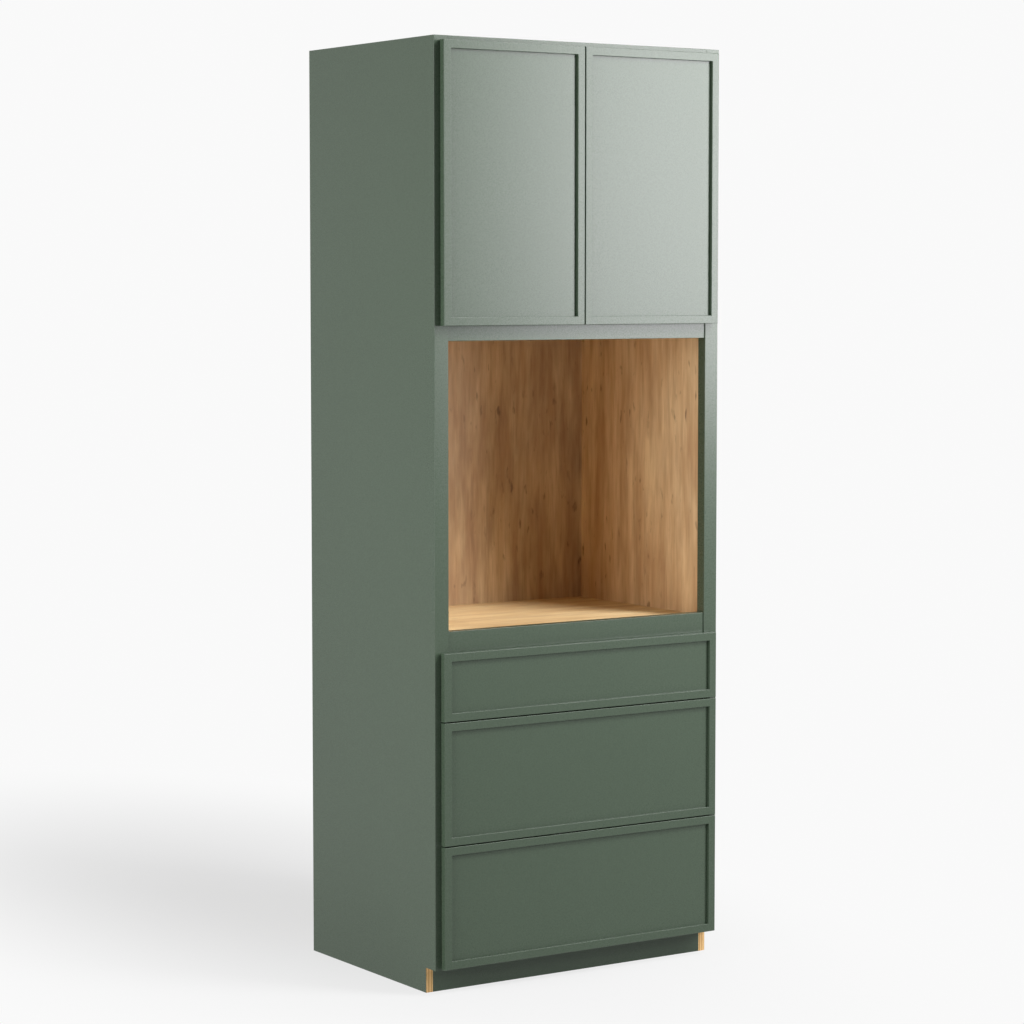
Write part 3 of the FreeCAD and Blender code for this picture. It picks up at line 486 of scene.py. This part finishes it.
def add_bumpers():
    """Rubber bumpers that rest on the face frame when the fronts are shut."""
    edge_distance = 7
    door_spots = (8.5, 60)
    play = 0.1
    back = millimetres("left_door_top_rail")[1].y
    height = millimetres("left_stile")[0].y - back - play
    for side, sign in (("left", -1), ("right", 1)):
        top = millimetres(f"{side}_door_top_rail")[1].z
        spots = [((sign * x, back, top - edge_distance), (0, 1, 0)) for x in door_spots]
        fasten(f"{side}_door_bumpers", f"{side}_door", RUBBER, lambda: bumper_dome(height), spots)
    for drawer in DRAWERS:
        low, high = millimetres(f"{drawer}_front_frame")
        spots = []
        for x in (low.x + edge_distance, high.x - edge_distance):
            for z in (low.z + edge_distance, high.z - edge_distance):
                spots.append(((x, back, z), (0, 1, 0)))
        fasten(f"{drawer}_bumpers", drawer, RUBBER, lambda: bumper_dome(height), spots)


add_hinge_screws()
add_slide_screws()
add_front_screws()
add_bumpers()


# Camera, floor and light, in metres

# The brightness of the background and of the floor's far parts
WHITE = 0.95


def stand(name, data, place, direction):
    """A camera or lamp in the scene that looks along a direction."""
    made = bpy.data.objects.new(name, data)
    bpy.context.scene.collection.objects.link(made)
    made.location = place
    made.rotation_euler = direction.to_track_quat("-Z", "Y").to_euler()
    return made


def add_camera():
    """A long lens to the front left, at three quarters of the cabinet's height, leaning down a little."""
    data = bpy.data.cameras.new("camera")
    data.lens = 104.279
    data.sensor_width = 36
    data.shift_y = -0.008
    yaw = math.radians(33.402)
    pitch = math.radians(4.258)
    forward = Vector((math.sin(yaw) * math.cos(pitch), math.cos(yaw) * math.cos(pitch), -math.sin(pitch)))
    bpy.context.scene.camera = stand("camera", data, (-4.1221, -6.2332, 1.7059), forward)


def add_lamp(name, place, aim, width, height, brightness, colour=(1, 1, 1)):
    """A soft rectangular lamp of a given surface brightness."""
    data = bpy.data.lights.new(name, "AREA")
    data.shape = "RECTANGLE"
    data.size = width
    data.size_y = height
    data.energy = brightness * width * height * math.pi
    data.color = colour
    stand(name, data, place, Vector(aim) - Vector(place))


def seen_share(tree):
    """1 for camera, glossy and transmission rays, else 0."""
    path = tree.nodes.new("ShaderNodeLightPath")
    total = path.outputs["Is Camera Ray"]
    for name in ("Is Glossy Ray", "Is Transmission Ray"):
        node = tree.nodes.new("ShaderNodeMath")
        node.operation = "MAXIMUM"
        tree.links.new(total, node.inputs[0])
        tree.links.new(path.outputs[name], node.inputs[1])
        total = node.outputs["Value"]
    return total


def add_world():
    """Even dim light all round, with a white background to look at."""
    dim = 0.015
    world = bpy.data.worlds.new("studio")
    bpy.context.scene.world = world
    world.use_nodes = True
    tree = world.node_tree
    background = tree.nodes["Background"]
    strength = tree.nodes.new("ShaderNodeMapRange")
    tree.links.new(seen_share(tree), strength.inputs["Value"])
    strength.inputs["To Min"].default_value = dim
    strength.inputs["To Max"].default_value = WHITE
    tree.links.new(strength.outputs["Result"], background.inputs["Strength"])
    background.inputs["Color"].default_value = (1, 1, 1, 1)


def add_floor():
    """A wide pale floor that glows less in an oval round the cabinet, a painted shadow over the real one, and
    fades into the white background.
    """
    half = 9
    corners = [(-half, -half, 0), (half, -half, 0), (half, half, 0), (-half, half, 0)]
    grey = (0.55, 0.55, 0.55, 1)
    dull = 0.9
    # The glow is weaker in an oval round the cabinet, so the floor there is darker: a painted shadow, with
    # the real shadow showing through it
    painted_shadow_middle = (-0.15, 0.9, 0)
    painted_shadow_reach = (1.25, 2.6, 1)
    least_glow = 0.68
    mesh = bpy.data.meshes.new("floor")
    mesh.from_pydata(corners, [], [(0, 1, 2, 3)])
    floor = bpy.data.objects.new("floor", mesh)
    bpy.context.scene.collection.objects.link(floor)
    made = Surface("floor_white")
    mesh.materials.append(made.finish(grey, dull, Specular_IOR_Level=0.0))
    oval = made.add("ShaderNodeMapping", {"Vector": made.place, "Location": painted_shadow_middle,
                                          "Scale": painted_shadow_reach}, vector_type="TEXTURE")
    away = made.add("ShaderNodeVectorMath", {0: oval.outputs["Vector"]}, operation="LENGTH")
    fade = made.add("ShaderNodeMapRange", {"Value": away.outputs["Value"], "From Min": 0.1, "From Max": 1.0,
                                           "To Min": least_glow, "To Max": 1.0},
                    interpolation_type="SMOOTHSTEP")
    share = made.arithmetic("MULTIPLY", fade.outputs["Result"], seen_share(made.tree))
    glow = made.add("ShaderNodeEmission", {"Strength": WHITE})
    blend = made.add("ShaderNodeMixShader", {"Fac": share, 1: made.shader.outputs["BSDF"],
                                             2: glow.outputs["Emission"]})
    made.feed(made.tree.nodes["Material Output"].inputs["Surface"], blend.outputs["Shader"])


add_camera()
add_world()
add_floor()
add_lamp("key", place=(2.46, -2.99, 2.28), aim=(0, -0.3, 2.28), width=1.44, height=2.1, brightness=15.6,
         colour=(0.985, 0.965, 1))
add_lamp("left_fill", place=(-3.8, -0.8, 1.7), aim=(0, -0.1, 1.3), width=3.0, height=2.6, brightness=6.9)
add_lamp("deck_light", place=(1.42, -2.3, 3.9), aim=(0, 0, 0.9), width=0.9, height=1.1, brightness=43.0)
add_lamp("back_fill", place=(1.6, 4.4, 2.6), aim=(0, 0.3, 1.2), width=2.4, height=2.0, brightness=2.6)

bpy.context.scene.view_settings.view_transform = "Standard"
